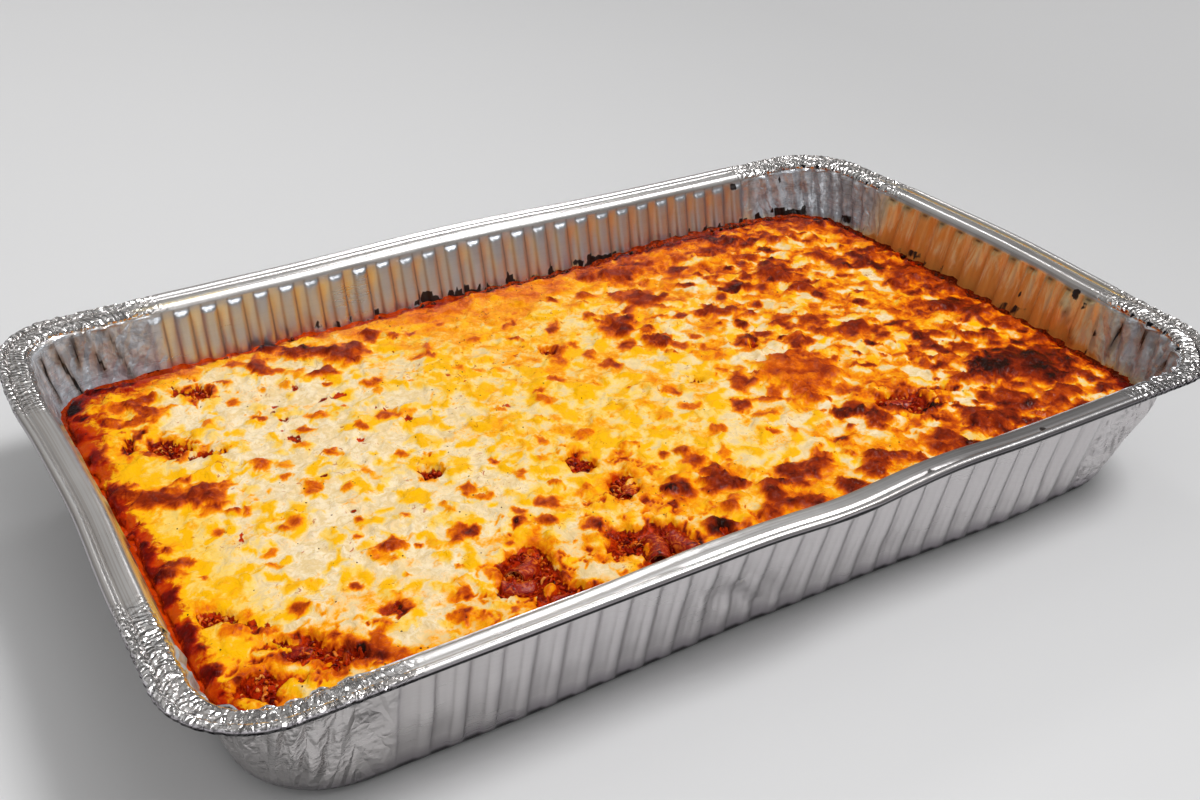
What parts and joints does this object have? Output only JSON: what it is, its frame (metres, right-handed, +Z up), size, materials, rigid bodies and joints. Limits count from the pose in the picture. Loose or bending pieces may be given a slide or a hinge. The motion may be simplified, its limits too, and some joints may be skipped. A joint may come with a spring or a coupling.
{
  "type": "baked pasta in a foil tray",
  "caption": "Large ribbed aluminium foil catering tray with a rolled rim, filled with baked pasta in red sauce under a browned layer of melted cheese.",
  "frame": {"origin": "middle of the tray's flat base, where it rests", "axes": "+X along the tray's long sides, +Y across it, +Z up out of the tray"},
  "size_m": [0.5324, 0.332, 0.076],
  "materials": {
    "foil": "satin",
    "sauce": "satin",
    "cheese": "satin"
  },
  "bodies": {
    "root": {"foil_tray": "foil", "sauced_pasta": "sauce", "melted_cheese": "cheese"}
  },
  "joints": []
}
